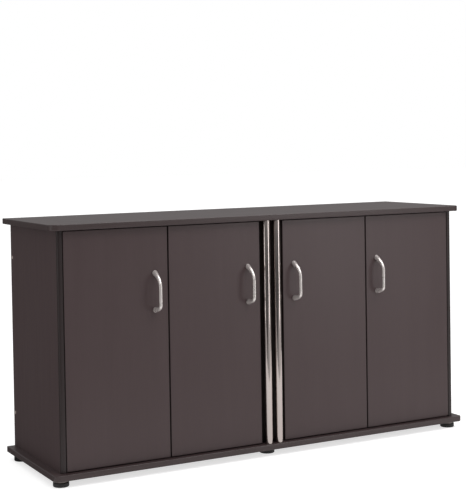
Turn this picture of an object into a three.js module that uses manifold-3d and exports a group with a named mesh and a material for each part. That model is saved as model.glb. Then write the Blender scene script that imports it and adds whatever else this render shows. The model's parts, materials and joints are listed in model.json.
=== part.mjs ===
// Aquarium stand cabinet: a low four-door cupboard on six feet that carries a tank on its top board.
// Units are millimetres. +X is right, -Y is the front, +Z is up, z = 0 is the floor.
// The origin is on the floor, midway between the ends and midway between handle fronts and back.
import * as THREE from 'three';
import { mergeVertices } from 'three/addons/utils/BufferGeometryUtils.js';
import Module from 'manifold-3d';

const wasm = await Module();
wasm.setup();

// ---------- Driving dimensions ----------

const LENGTH = 1500;            // top and base boards, end to end
const BOARD_DEPTH = 440;        // top and base boards, front to back
const BOARD = 18;               // their thickness
const PANEL = 16;               // thickness of uprights, doors and shelves
const BACK = 6;                 // thickness of the back panels
const BODY_HEIGHT = 716;        // between base board and top board
const FOOT_HEIGHT = 22;
const SIDE_OVERHANG = 27;       // boards beyond the side panels
const FRONT_OVERHANG = 20;      // boards beyond the door faces
const TOP_CORNER = 26;          // front corner radius of the top board
const BASE_CORNER = 15;         // front corner radius of the base board
const REAR_CORNER = 3;
const SIDE_ROUND = 8;           // rounding of the front edge of a side panel

const PARTITION_X = 365;        // centre of the partition behind a pair of doors
const CENTRE_GAP = 85;          // between the two inner doors, where the columns stand
const DOOR_GAP = 3.5;           // between the doors of a pair
const DOOR_CLEARANCE = 3;       // above and below a door
const SIDE_CLEARANCE = 2;       // between an outer door and its side panel
const DOOR_STANDOFF = 2;        // between a door's inner face and the upright behind it

const COLUMN_RADIUS = 12.5;
const COLUMN_WALL = 1.2;
const COLUMN_X = 19;
const COLUMN_SETBACK = 3;       // column axis in front of the door faces
const STILE_HALF = 55;          // half width of the dark board behind the columns

const HANDLE_PITCH = 112;       // between the two handle screws
const HANDLE_REACH = 44;        // handle front to door face
const HANDLE_ROD = 4.8;         // radius of the straight bar
const HANDLE_END = 8.5;         // radius of a leg where it meets the door
// A handle's leg: its curve heads for a point at this rise from the door and drop from the screw,
// then for the bar's line at the turn, and runs into the bar at the end of its span.
const UPPER_LEG = { rise: 18, drop: 9, turn: 20, span: 42 };
const LOWER_LEG = { rise: 26, drop: 4, turn: 6, span: 20 };
const HANDLE_INSET = 43;        // handle to the free edge of its door
const HANDLE_Z = 556;           // middle of the handle above the floor

const SHELF_Z = 382;            // underside of a shelf
const SHELF_SETBACK = 22;       // shelf front behind the partition front
const SHELF_PLAY = 0.5;         // around a shelf
const PIN_RADIUS = 2.5;         // shelf pin, the part in the upright
const PIN_HEAD = 4.5;           // shelf pin, the part under the shelf
const PIN_DEPTH = 9;
const PIN_INSET = 45;           // pins to the front and back edges of the shelf

const OUTLET_LENGTH = 140;      // hose and cable cut-outs in the back panels
const OUTLET_HEIGHT = 60;
const OUTLET_Z = 670;

const FOOT_RADIUS = 24;
const FOOT_RIM = 2;             // bevel around the foot's lower edge
const FOOT_PAD = 13;            // height of the wide lower part
const FOOT_STEP = 1;            // half height of the slope between the wide part and the collar
const COLLAR_RADIUS = 20;
const FOOT_END = 34;            // foot centre to the end of the base board
const FOOT_FRONT = 42;          // corner foot centre to the front of the base board
const FOOT_FRONT_CENTRE = 65;
const FOOT_REAR = 46;

const HINGE_END = 100;          // hinge centre to the top or bottom of its door
const CUP_CENTRE = 22.5;        // cup centre to the hinged edge of its door
const CUP_BORE = 17.5;          // radius of the bore in the door
const CUP_DEPTH = 12.5;
const CUP_FLANGE = 1;
const CUP_WALL = 1.2;
const LUG_HALF = 28;            // half height of the cup's screw flange
const LUG_RIM = 1.5;            // flange beyond the bore
const ARC_INNER = 19.2;         // the curved hinge parts turn around the door's front edge
const ARC_OUTER = 22.2;
const BRIDGE_OUTER = 23.8;
const ARC_FROM = 17.5;          // degrees, counted from the closed door's face
const ARC_TO = 69;
const BRIDGE_TO = 42;
const CHANNEL_LAP = 5;          // degrees by which the link's shapes run into or past each other
const ARM_HALF = 5;             // half width of the fixed hinge arm
const ARM_HEIGHT = 12;          // rises from the upright's face
const WING_HEIGHT = 3;
const PLINTH_HEIGHT = 5.5;
const WING_HALF = 24;           // half lengths across the hinge
const PLINTH_HALF = 6;
const WING_DEPTHS = [46, 62];   // behind the door's face
const PLINTH_DEPTHS = [30, 80];
const ARM_BACK = 84;
const LINK_HALF = 7.5;          // half width of the moving link, which straddles the arm
const FIT = 0.3;                // gap kept around a piece that sits in another
const OVERCUT = 1;              // how far a cutting shape runs past the face it cuts

// Facets
const ARC_SEGMENTS = 4;         // half of the facets on each rounded corner
const NOSING_FACETS = 8;        // on the rounded edge of a side panel
const SECTOR_FACETS = 5;        // on the curved hinge parts
const LEG_STEPS = 8;            // along the curve of a handle's leg
const ROUND_FACETS = 24;        // around a large round piece
const SMALL_FACETS = 12;        // around a shelf pin or a handle

// ---------- Derived positions ----------

const END_X = LENGTH / 2;
const SIDE_OUT = END_X - SIDE_OVERHANG;
const SIDE_IN = SIDE_OUT - PANEL;
const BACK_Y = (BOARD_DEPTH + HANDLE_REACH - FRONT_OVERHANG) / 2;
const BOARD_FRONT = BACK_Y - BOARD_DEPTH;
const DOOR_FACE = BOARD_FRONT + FRONT_OVERHANG;
const UPRIGHT_FRONT = DOOR_FACE + PANEL + DOOR_STANDOFF;
const BACK_IN = BACK_Y - BACK;
const BASE_TOP = FOOT_HEIGHT + BOARD;
const BODY_TOP = BASE_TOP + BODY_HEIGHT;
const DOOR_BOTTOM = BASE_TOP + DOOR_CLEARANCE;
const DOOR_TOP = BODY_TOP - DOOR_CLEARANCE;
const PARTITION_IN = PARTITION_X - PANEL / 2;
const PARTITION_OUT = PARTITION_X + PANEL / 2;
const HINGE_HEIGHTS = [DOOR_BOTTOM + HINGE_END, DOOR_TOP - HINGE_END];
const SIDES = [['left', -1], ['right', 1]];

// ---------- Geometry helpers ----------

function solid(geometry) {
  const bare = geometry.clone();
  bare.deleteAttribute('normal');
  bare.deleteAttribute('uv');
  const merged = mergeVertices(bare, 1e-4);
  return new wasm.Manifold(new wasm.Mesh({
    numProp: 3,
    vertProperties: new Float32Array(merged.attributes.position.array),
    triVerts: new Uint32Array(merged.index.array),
  }));
}

function geometryOf(manifold) {
  const mesh = manifold.getMesh();
  const geometry = new THREE.BufferGeometry();
  geometry.setAttribute('position', new THREE.BufferAttribute(mesh.vertProperties, 3));
  geometry.setIndex(new THREE.BufferAttribute(mesh.triVerts, 1));
  geometry.computeVertexNormals();
  return geometry;
}

function block(x, y, z) {
  const geometry = new THREE.BoxGeometry(
    Math.abs(x[1] - x[0]), Math.abs(y[1] - y[0]), Math.abs(z[1] - z[0]));
  return geometry.translate((x[0] + x[1]) / 2, (y[0] + y[1]) / 2, (z[0] + z[1]) / 2);
}

// An outline in the XY plane, raised from z[0] to z[1].
function raised(shape, z) {
  const geometry = new THREE.ExtrudeGeometry(
    shape, { depth: z[1] - z[0], bevelEnabled: false, curveSegments: ARC_SEGMENTS });
  return geometry.translate(0, 0, z[0]);
}

// An outline in the XZ plane, running back from y[0] to y[1].
function deepened(shape, y) {
  const geometry = new THREE.ExtrudeGeometry(
    shape, { depth: y[1] - y[0], bevelEnabled: false, curveSegments: ARC_SEGMENTS });
  return geometry.rotateX(Math.PI / 2).translate(0, y[1], 0);
}

function slotShape(x, z, halfLength, halfHeight, turned = false) {
  const shape = new THREE.Shape();
  const straight = halfLength - halfHeight;
  const quarter = turned ? Math.PI / 2 : 0;
  const cos = Math.cos(quarter);
  const sin = Math.sin(quarter);
  shape.absarc(x + straight * cos, z + straight * sin, halfHeight,
    quarter - Math.PI / 2, quarter + Math.PI / 2);
  shape.absarc(x - straight * cos, z - straight * sin, halfHeight,
    quarter + Math.PI / 2, quarter + Math.PI * 1.5);
  return shape;
}

function discAlongY(radius, x, z, y, facets = ROUND_FACETS) {
  return new THREE.CylinderGeometry(radius, radius, y[1] - y[0], facets)
    .translate(x, (y[0] + y[1]) / 2, z);
}

function discAlongX(radius, x, y, z) {
  return new THREE.CylinderGeometry(radius, radius, Math.abs(x[1] - x[0]), SMALL_FACETS)
    .rotateZ(Math.PI / 2)
    .translate((x[0] + x[1]) / 2, y, z);
}

// A ring sector around the origin, between two radii and two angles in degrees, mirrored by side.
function sector(inner, outer, from, to, side) {
  const points = [];
  for (const radius of [outer, inner]) {
    for (let i = 0; i <= SECTOR_FACETS; i += 1) {
      const part = (radius === outer ? i : SECTOR_FACETS - i) / SECTOR_FACETS;
      const angle = THREE.MathUtils.degToRad(from + (to - from) * part);
      points.push(new THREE.Vector2(-side * radius * Math.cos(angle), radius * Math.sin(angle)));
    }
  }
  return new THREE.Shape(points);
}

// ---------- Materials ----------

const laminate = new THREE.MeshStandardMaterial({ color: '#4f4644', roughness: 0.55, metalness: 0 });
const darkStile = new THREE.MeshStandardMaterial({ color: '#120f0f', roughness: 0.6, metalness: 0 });
const backBoard = new THREE.MeshStandardMaterial({ color: '#3d3533', roughness: 0.8, metalness: 0 });
const polished = new THREE.MeshStandardMaterial({ color: '#cfc6bf', roughness: 0.15, metalness: 1 });
const nickel = new THREE.MeshStandardMaterial({ color: '#b9b5ae', roughness: 0.3, metalness: 1 });
const blackPlastic = new THREE.MeshStandardMaterial({ color: '#0d0d0d', roughness: 0.5, metalness: 0 });

const cabinet = new THREE.Group();

function add(name, geometry, material, parent = cabinet) {
  const mesh = new THREE.Mesh(geometry, material);
  mesh.name = name;
  parent.add(mesh);
  return mesh;
}

// ---------- Top and base boards ----------

function boardOutline(frontRadius) {
  const shape = new THREE.Shape();
  const inFront = END_X - frontRadius;
  const inRear = END_X - REAR_CORNER;
  shape.absarc(inFront, BOARD_FRONT + frontRadius, frontRadius, -Math.PI / 2, 0);
  shape.absarc(inRear, BACK_Y - REAR_CORNER, REAR_CORNER, 0, Math.PI / 2);
  shape.absarc(-inRear, BACK_Y - REAR_CORNER, REAR_CORNER, Math.PI / 2, Math.PI);
  shape.absarc(-inFront, BOARD_FRONT + frontRadius, frontRadius, Math.PI, Math.PI * 1.5);
  return shape;
}

add('top_board', raised(boardOutline(TOP_CORNER), [BODY_TOP, BODY_TOP + BOARD]), laminate);
add('base_board', raised(boardOutline(BASE_CORNER), [FOOT_HEIGHT, BASE_TOP]), laminate);

// ---------- Uprights ----------

// Shelf pins stand at the same depth in the side panel and in the partition facing it.
const SHELF_FRONT = UPRIGHT_FRONT + SHELF_SETBACK;
const SHELF_BACK = BACK_IN - SHELF_PLAY;
const PIN_Y = [['front', SHELF_FRONT + PIN_INSET], ['rear', SHELF_BACK - PIN_INSET]];
const PIN_Z = SHELF_Z - PIN_HEAD;

function withPinHoles(geometry, faceX, inwards) {
  let body = solid(geometry);
  for (const [, y] of PIN_Y) {
    const ends = [faceX - inwards * OVERCUT, faceX + inwards * (PIN_DEPTH + FIT)];
    body = body.subtract(solid(discAlongX(PIN_RADIUS + FIT, ends, y, PIN_Z)));
  }
  return geometryOf(body);
}

function sidePanelOutline(side) {
  const shape = new THREE.Shape();
  const roundX = SIDE_OUT - SIDE_ROUND;
  const roundY = DOOR_FACE + SIDE_ROUND;
  shape.moveTo(side * SIDE_IN, BACK_Y);
  shape.lineTo(side * SIDE_IN, DOOR_FACE);
  shape.lineTo(side * roundX, DOOR_FACE);
  for (let i = 1; i <= NOSING_FACETS; i += 1) {
    const angle = (Math.PI / 2) * (i / NOSING_FACETS);
    shape.lineTo(side * (roundX + SIDE_ROUND * Math.sin(angle)), roundY - SIDE_ROUND * Math.cos(angle));
  }
  shape.lineTo(side * SIDE_OUT, BACK_Y);
  return shape;
}

for (const [name, side] of SIDES) {
  const sidePanel = raised(sidePanelOutline(side), [BASE_TOP, BODY_TOP]);
  add(`side_panel_${name}`, withPinHoles(sidePanel, side * SIDE_IN, side), laminate);

  const partition = block([side * PARTITION_IN, side * PARTITION_OUT],
    [UPRIGHT_FRONT, BACK_IN], [BASE_TOP, BODY_TOP]);
  add(`partition_${name}`, withPinHoles(partition, side * PARTITION_OUT, -side), laminate);
}

add('centre_stile', block([-STILE_HALF, STILE_HALF],
  [UPRIGHT_FRONT, UPRIGHT_FRONT + PANEL], [BASE_TOP, BODY_TOP]), darkStile);
add('centre_partition', block([-PANEL / 2, PANEL / 2],
  [UPRIGHT_FRONT + PANEL, BACK_IN], [BASE_TOP, BODY_TOP]), laminate);

// ---------- Back panels with hose and cable outlets ----------

const OUTLET_X = [(PANEL / 2 + PARTITION_IN) / 2, (PARTITION_OUT + SIDE_IN) / 2];

for (const [name, side] of SIDES) {
  const [innerX, outerX] = [side * FIT, side * (SIDE_IN - FIT)];
  let panel = solid(block([innerX, outerX], [BACK_IN, BACK_Y], [BASE_TOP, BODY_TOP]));
  for (const x of OUTLET_X) {
    const outlet = slotShape(side * x, OUTLET_Z, OUTLET_LENGTH / 2, OUTLET_HEIGHT / 2);
    panel = panel.subtract(solid(deepened(outlet, [BACK_IN - OVERCUT, BACK_Y + OVERCUT])));
  }
  add(`back_panel_${name}`, geometryOf(panel), backBoard);
}

// ---------- Columns ----------

function columnGeometry() {
  const inner = COLUMN_RADIUS - COLUMN_WALL;
  const profile = [
    [inner, BASE_TOP], [COLUMN_RADIUS, BASE_TOP], [COLUMN_RADIUS, BODY_TOP], [inner, BODY_TOP],
    [inner, BASE_TOP],
  ];
  const points = profile.map(([radius, height]) => new THREE.Vector2(radius, height));
  return new THREE.LatheGeometry(points, ROUND_FACETS).rotateX(Math.PI / 2);
}

for (const [name, side] of SIDES) {
  const column = add(`column_${name}`, columnGeometry(), polished);
  column.position.set(side * COLUMN_X, DOOR_FACE - COLUMN_SETBACK, 0);
}

// ---------- Shelves and their pins ----------

for (const [name, side] of SIDES) {
  add(`shelf_${name}`, block(
    [side * (PARTITION_OUT + SHELF_PLAY), side * (SIDE_IN - SHELF_PLAY)],
    [SHELF_FRONT, SHELF_BACK], [SHELF_Z, SHELF_Z + PANEL]), laminate);

  const walls = [['outer', side * SIDE_IN, side], ['inner', side * PARTITION_OUT, -side]];
  for (const [wall, faceX, inwards] of walls) {
    for (const [place, y] of PIN_Y) {
      const shankEnds = [faceX - inwards * OVERCUT, faceX + inwards * PIN_DEPTH];
      const shank = discAlongX(PIN_RADIUS, shankEnds, y, PIN_Z);
      const head = discAlongX(PIN_HEAD, [faceX - inwards * FIT, faceX - inwards * PIN_DEPTH], y, PIN_Z);
      add(`shelf_pin_${name}_${wall}_${place}`, geometryOf(solid(shank).add(solid(head))), nickel);
    }
  }
}

// ---------- Feet ----------

function footGeometry() {
  const profile = [
    [0, 0], [FOOT_RADIUS - FOOT_RIM, 0], [FOOT_RADIUS, FOOT_RIM], [FOOT_RADIUS, FOOT_PAD - FOOT_STEP],
    [COLLAR_RADIUS, FOOT_PAD + FOOT_STEP], [COLLAR_RADIUS, FOOT_HEIGHT], [0, FOOT_HEIGHT],
  ];
  const points = profile.map(([radius, height]) => new THREE.Vector2(radius, height));
  return new THREE.LatheGeometry(points, ROUND_FACETS).rotateX(Math.PI / 2);
}

const FOOT_X = END_X - FOOT_END;
const FEET = [
  ['front_left', -FOOT_X, BOARD_FRONT + FOOT_FRONT],
  ['front_centre', 0, BOARD_FRONT + FOOT_FRONT_CENTRE],
  ['front_right', FOOT_X, BOARD_FRONT + FOOT_FRONT],
  ['rear_left', -FOOT_X, BACK_Y - FOOT_REAR],
  ['rear_centre', 0, BACK_Y - FOOT_REAR],
  ['rear_right', FOOT_X, BACK_Y - FOOT_REAR],
];
for (const [place, x, y] of FEET) {
  add(`foot_${place}`, footGeometry(), blackPlastic).position.set(x, y, 0);
}

// ---------- Doors ----------
// Each door is drawn in a group whose origin is the front edge that it turns about, at floor level.
// There, -side points from the hinge towards the free edge, and +Y into the cabinet.

// A solid of round rings, each square to its own direction; up to the last ring it runs along them.
function loft(rings, facets) {
  const points = [];
  const faces = [];
  const across = new THREE.Vector3(1, 0, 0);
  for (const { middle, along, radius } of rings) {
    const up = new THREE.Vector3().crossVectors(along, across);
    for (let k = 0; k < facets; k += 1) {
      const angle = (2 * Math.PI * k) / facets;
      points.push(...middle.clone()
        .addScaledVector(across, radius * Math.cos(angle))
        .addScaledVector(up, radius * Math.sin(angle)).toArray());
    }
  }
  const last = (rings.length - 1) * facets;
  for (let k = 0; k < facets; k += 1) {
    const next = (k + 1) % facets;
    for (let ring = 0; ring < last; ring += facets) {
      faces.push(ring + k, ring + next, ring + facets + next);
      faces.push(ring + k, ring + facets + next, ring + facets + k);
    }
    if (k > 0 && next > 0) {
      faces.push(0, next, k, last, last + k, last + next);
    }
  }
  const geometry = new THREE.BufferGeometry();
  geometry.setAttribute('position', new THREE.Float32BufferAttribute(points, 3));
  geometry.setIndex(faces);
  geometry.computeVertexNormals();
  return geometry;
}

// The rings of a handle's leg, from the door to the bar. The first one lies flat on the door.
function legRings({ rise, drop, turn, span }, end) {
  const reach = HANDLE_REACH - HANDLE_ROD;
  const curve = new THREE.CubicBezierCurve(
    new THREE.Vector2(0, end), new THREE.Vector2(rise, end - drop),
    new THREE.Vector2(reach, end - turn), new THREE.Vector2(reach, end - span));
  const rings = [];
  for (let i = 0; i <= LEG_STEPS; i += 1) {
    const t = i / LEG_STEPS;
    const { x: out, y: z } = curve.getPoint(t);
    const { x: outwards, y: upwards } = i === 0 ? new THREE.Vector2(1, 0) : curve.getTangent(t);
    rings.push({
      middle: new THREE.Vector3(0, -out, z),
      along: new THREE.Vector3(0, -outwards, upwards),
      radius: HANDLE_ROD + (HANDLE_END - HANDLE_ROD) * (1 - t) ** 2,
    });
  }
  return rings;
}

// A bow handle: the upper leg sweeps down into a slim straight bar, and the lower one turns in to the door.
function handleGeometry() {
  const upper = legRings(UPPER_LEG, HANDLE_PITCH / 2);
  const lower = legRings(LOWER_LEG, HANDLE_PITCH / 2).reverse().map(({ middle, along, radius }) => ({
    middle: new THREE.Vector3(0, middle.y, -middle.z),
    along: new THREE.Vector3(0, -along.y, along.z),
    radius,
  }));
  return loft([...upper, ...lower], SMALL_FACETS);
}

function doorGeometry(width, side) {
  let door = solid(block([0, -side * width], [0, PANEL], [DOOR_BOTTOM, DOOR_TOP]));
  for (const z of HINGE_HEIGHTS) {
    const bore = discAlongY(CUP_BORE, -side * CUP_CENTRE, z, [PANEL - CUP_DEPTH, PANEL + OVERCUT]);
    door = door.subtract(solid(bore));
  }
  return geometryOf(door);
}

// A steel cup in the door's bore, with a rim and a screw flange on the door's inner face.
function cupGeometry(side) {
  const x = -side * CUP_CENTRE;
  const top = PANEL + CUP_FLANGE;
  const bottom = PANEL - CUP_DEPTH + FIT;
  const radius = CUP_BORE - FIT;
  const flange = slotShape(x, 0, LUG_HALF, CUP_BORE + LUG_RIM, true);
  return geometryOf(solid(discAlongY(radius, x, 0, [bottom, top]))
    .add(solid(deepened(flange, [PANEL, top])))
    .subtract(solid(discAlongY(radius - CUP_WALL, x, 0, [bottom + CUP_WALL, top + OVERCUT]))));
}

// The arm on the upright: a winged plate, a bar towards the front and a curved nose that dips
// into the cup. Its face offset is where the upright's face lies, counted from the hinge edge.
function armGeometry(side, faceOffset) {
  const at = (rise) => -side * (faceOffset + rise);
  const across = [-ARM_HALF, ARM_HALF];
  const front = PANEL + CUP_FLANGE + 2 * FIT;
  const wings = block([at(0), at(WING_HEIGHT)], WING_DEPTHS, [-WING_HALF, WING_HALF]);
  const plinth = block([at(0), at(PLINTH_HEIGHT)], PLINTH_DEPTHS, [-PLINTH_HALF, PLINTH_HALF]);
  const bar = block([at(WING_HEIGHT), at(ARM_HEIGHT)], [front, ARM_BACK], across);
  const nose = raised(sector(ARC_INNER, ARC_OUTER, ARC_FROM, ARC_TO, side), across);
  return geometryOf(solid(wings).add(solid(plinth)).add(solid(bar)).add(solid(nose)));
}

// The moving link: two curved cheeks beside the arm's nose, joined by a bridge outside it.
function linkGeometry(side) {
  const across = [-LINK_HALF, LINK_HALF];
  const inside = ARM_HALF + FIT;
  const bridge = sector(ARC_INNER, BRIDGE_OUTER, ARC_FROM, BRIDGE_TO, side);
  const cheeks = sector(ARC_INNER, ARC_OUTER, BRIDGE_TO - CHANNEL_LAP, ARC_TO, side);
  const channel = sector(ARC_INNER - OVERCUT, ARC_OUTER + FIT,
    ARC_FROM - CHANNEL_LAP, ARC_TO + CHANNEL_LAP, side);
  return geometryOf(solid(raised(bridge, across)).add(solid(raised(cheeks, across)))
    .subtract(solid(raised(channel, [-inside, inside]))));
}

const OUTER_DOOR_EDGE = SIDE_IN - SIDE_CLEARANCE;
const PAIR_OUT = PARTITION_X + DOOR_GAP / 2;
const PAIR_IN = PARTITION_X - DOOR_GAP / 2;

// Doors 1 to 4 run from left to right; each entry has its number, side, hinge edge, free edge and
// the face of the upright that carries its hinges.
const DOORS = [
  [1, -1, OUTER_DOOR_EDGE, PAIR_OUT, SIDE_IN],
  [2, -1, PAIR_IN, CENTRE_GAP / 2, PARTITION_IN],
  [3, 1, PAIR_IN, CENTRE_GAP / 2, PARTITION_IN],
  [4, 1, OUTER_DOOR_EDGE, PAIR_OUT, SIDE_IN],
];

for (const [number, side, hingeEdge, freeEdge, uprightFace] of DOORS) {
  const width = hingeEdge - freeEdge;
  const door = new THREE.Group();
  door.position.set(side * hingeEdge, DOOR_FACE, 0);
  cabinet.add(door);

  add(`door_${number}`, doorGeometry(width, side), laminate, door);
  const handle = add(`handle_${number}`, handleGeometry(), polished, door);
  handle.position.set(-side * (width - HANDLE_INSET), 0, HANDLE_Z);

  for (const [i, z] of HINGE_HEIGHTS.entries()) {
    const level = ['lower', 'upper'][i];
    add(`hinge_cup_${number}_${level}`, cupGeometry(side), nickel, door).position.z = z;
    add(`hinge_link_${number}_${level}`, linkGeometry(side), nickel, door).position.z = z;
    const faceOffset = hingeEdge - uprightFace;
    add(`hinge_arm_${number}_${level}`, armGeometry(side, faceOffset), nickel, door).position.z = z;
  }
}

export default cabinet;
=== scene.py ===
"""Looks of the aquarium stand cabinet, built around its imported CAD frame. Metres, +Z up, -Y front."""
import json
import math

import bmesh
import bpy
from mathutils import Matrix, Vector


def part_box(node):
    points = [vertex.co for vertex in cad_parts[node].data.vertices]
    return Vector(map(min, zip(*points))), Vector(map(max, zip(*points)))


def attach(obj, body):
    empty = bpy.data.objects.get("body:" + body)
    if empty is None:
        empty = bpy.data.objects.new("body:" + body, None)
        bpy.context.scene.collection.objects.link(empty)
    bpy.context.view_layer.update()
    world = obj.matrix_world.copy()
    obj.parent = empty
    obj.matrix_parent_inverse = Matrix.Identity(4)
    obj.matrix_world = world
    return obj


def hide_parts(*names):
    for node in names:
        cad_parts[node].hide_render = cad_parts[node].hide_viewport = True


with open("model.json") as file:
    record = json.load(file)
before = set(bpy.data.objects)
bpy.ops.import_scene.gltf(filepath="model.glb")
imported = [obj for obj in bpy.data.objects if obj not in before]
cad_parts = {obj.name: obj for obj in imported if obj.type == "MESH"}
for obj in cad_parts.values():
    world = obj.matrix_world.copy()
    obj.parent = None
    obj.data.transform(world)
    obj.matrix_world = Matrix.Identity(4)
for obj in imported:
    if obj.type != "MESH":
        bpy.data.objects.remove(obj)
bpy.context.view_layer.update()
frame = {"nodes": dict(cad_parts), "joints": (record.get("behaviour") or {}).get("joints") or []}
scene = bpy.context.scene
MM = 0.001

# ---------- Sizes ----------

BAND = 1.2 * MM              # thickness of the edge band on a board
SEAM = 0.15 * MM             # groove between a board's face and its edge band
BOARD_EDGE = 2.0 * MM        # rounding of the top and base boards' rims
DOOR_EDGE = 1.0 * MM
DOOR_CORNER = 2.0 * MM
UPRIGHT_EDGE = 0.6 * MM
SIDE_ROUND = 8 * MM          # front edge of a side panel
NOSING_STEPS, NOSING_EASE = 14, 0.4 * MM
TOP_CORNER = 26 * MM
BASE_CORNER = 15 * MM
REAR_CORNER = 3 * MM

FIT = 0.3 * MM               # gap around a piece that sits in another

CUP_BORE = 17.5 * MM         # radius of the hinge cup's bore in the door
CUP_DEPTH = 12.5 * MM
CUP_FLANGE = 1.0 * MM
CUP_WALL = 1.2 * MM
CUP_LUG_HALF = 28 * MM       # half height of the cup's screw flange
CUP_SCREW_RISE = 22.5 * MM   # flange screws above and below the cup's centre
ARC_INNER = 19.2 * MM        # the curved hinge parts turn around the door's front edge
ARC_OUTER = 22.2 * MM
BRIDGE_OUTER = 23.8 * MM
ARC_FROM, ARC_TO = 17.5, 69.0   # degrees, counted from the closed door's face
BRIDGE_TO = 42.0
ARM_HALF = 5.0 * MM          # half width of the fixed arm
LINK_HALF = 7.5 * MM         # half width of the moving link, which straddles the arm
PLATE_HALF = 6.0 * MM        # half width of the mounting plate's plinth
PLATE_HEIGHT = 5.5 * MM
WING_HEIGHT = 3.0 * MM
WING_HALF = 24 * MM
WING_FROM, WING_TO = 46 * MM, 62 * MM      # behind the door's face
PLINTH_FROM, PLINTH_TO = 30 * MM, 80 * MM
ARM_FROM, ARM_TO = 17.6 * MM, 84 * MM
ARM_HEIGHT = 12 * MM
ADJUSTER_DEPTHS = (38 * MM, 66 * MM)       # adjusting screws behind the door's face
POCKET_RADIUS, POCKET_DEPTH = 3.3 * MM, 1.2 * MM
CUP_SCREW = 3.2 * MM, 1.4 * MM             # radius and height of the screw heads
PLATE_SCREW = 4.2 * MM, 1.8 * MM
PLATE_SCREW_SHARE = 0.7                    # of a wing's half length
HANDLE_SCREW = 4.2 * MM, 2.2 * MM

HANDLE_PITCH = 112 * MM
HANDLE_ROD = 4.8 * MM        # radius of the straight bar
HANDLE_END = 8.5 * MM        # radius of a leg where it meets the door
# A leg's curve, in mm: rise from the door, drop from the screw, turn onto the bar's line, whole span
UPPER_LEG, LOWER_LEG = (18, 9, 20, 42), (26, 4, 6, 20)
LEG_STEPS = 28
LEG_SQUARE = 0.2             # share of a leg over which its rings turn from lying flat on the door
FOOT_EASE = 0.4 * MM         # rounding where a leg meets the door

COLUMN_WALL = 1.2 * MM
COLUMN_RIM_STEPS = 6
PIN_RADIUS, PIN_HEAD = 2.5 * MM, 4.5 * MM
PIN_DEPTH = 9 * MM
PIN_GROOVE = 0.6 * MM        # depth of the groove around a shelf pin's head
PIN_ROW_PITCH = 32 * MM      # between the holes of a shelf pin row
FOOT_SPLIT = 13 * MM         # height of the black pad under a foot's collar
FOOT_STEP = 4 * MM           # from the pad's rim in to the collar
FOOT_ROUND = 2 * MM
OUTLET_LENGTH, OUTLET_HEIGHT, OUTLET_Z = 140 * MM, 60 * MM, 670 * MM
BACK_SCREW_SINK = 0.2 * MM
BACK_SCREW_RADIUS, BACK_SCREW_HEIGHT = 3.5 * MM, 1.9 * MM
BACK_BORE_RADIUS, BACK_BORE_DEPTH = 4.0 * MM, 2.4 * MM
BACK_BORE_TIP = 1.6 * MM
BACK_SCREW_SHARES = (0.04, 0.27, 0.5, 0.73, 0.96)   # of a back panel's height
PIN_ROW_STEPS = (-2, -1, 0, 1, 2)
BUMPER_RADIUS, BUMPER_INSET = 4 * MM, 30 * MM
CROSS_SLOT, CROSS_REACH = 0.16, 0.58         # cross recess of a screw, shares of its head's radius
CROSS_FLOOR = 0.7                            # share of its outline that the recess has at its bottom
PAN_HEAD = ((1.0, 0.0), (1.0, 0.35), (0.93, 0.7), (0.78, 0.95))   # shares of radius and height
SCREW_STEPS = 24
CAP_RADIUS, CAP_INSET = 5.5 * MM, 13 * MM
CAP_FROM_END = 108 * MM      # cover caps above the base board and below the top board

DOORS = (1, 2, 3, 4)
LEVELS = ("lower", "upper")
SIDES = ("left", "right")


def side_of(name):
    """-1 for a node left of the middle, 1 for one right of it."""
    low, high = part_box(name)
    return -1 if low.x + high.x < 0 else 1


# ---------- Camera, floor and lights ----------

CAMERA_PLACE = (-1.994, -3.600, 1.004)
CAMERA_YAW, CAMERA_PITCH, CAMERA_ROLL = 28.593, 1.535, -0.902  # degrees
CAMERA_LENS = 90.57
CAMERA_SHIFT = -0.1423

ROOM_LOW, ROOM_HIGH = 0.10, 1.0        # brightness of the room near the floor and overhead
ROOM_FROM, ROOM_TO = -0.05, 0.75       # between these heights of a direction it changes
LIGHTS = (                             # name, place, aim, size and watts
    ("key", (0.9, -2.2, 3.2), (0.1, 0, 0.4), (2.4, 1.4), 52.5),
    ("front_card", (1.95, -2.9, 0.85), (0.2, -0.2, 0.5), (0.9, 1.65), 19.5),
    ("side_card", (-3.3, -0.35, 0.9), (0, -0.19, 0.7), (0.8, 1.7), 12),
    ("top_card", (0.9, -0.45, 2.7), (0.9, -0.45, 0), (2.4, 0.9), 44),
)
REFLECTED_ONLY = ("top_card",)         # lights that only show in glossy surfaces
FLOOR_END = 30
FLOOR_Z, DISTANT_Z = -0.2 * MM, -0.1 * MM
FLOOR_SHEET = (-1.3, -1.0), (1.7, -0.15)       # lit floor that glossy surfaces reflect
DISTANT_FLOORS = (                             # dimmer floor that shows only in reflections
    ("distant_floor_front", (-0.5, -7.0), (4.0, -1.0)),
    ("distant_floor_left", (-7.0, -1.5), (-1.3, -0.15)),
)


def make_camera():
    data = bpy.data.cameras.new("camera")
    data.lens = CAMERA_LENS
    data.shift_y = CAMERA_SHIFT
    data.clip_end = 100
    camera = bpy.data.objects.new("camera", data)
    turn = (
        Matrix.Rotation(math.radians(-CAMERA_YAW), 4, "Z")
        @ Matrix.Rotation(math.radians(90 - CAMERA_PITCH), 4, "X")
        @ Matrix.Rotation(math.radians(CAMERA_ROLL), 4, "Z")
    )
    camera.matrix_world = Matrix.Translation(CAMERA_PLACE) @ turn
    scene.collection.objects.link(camera)
    scene.camera = camera


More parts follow.
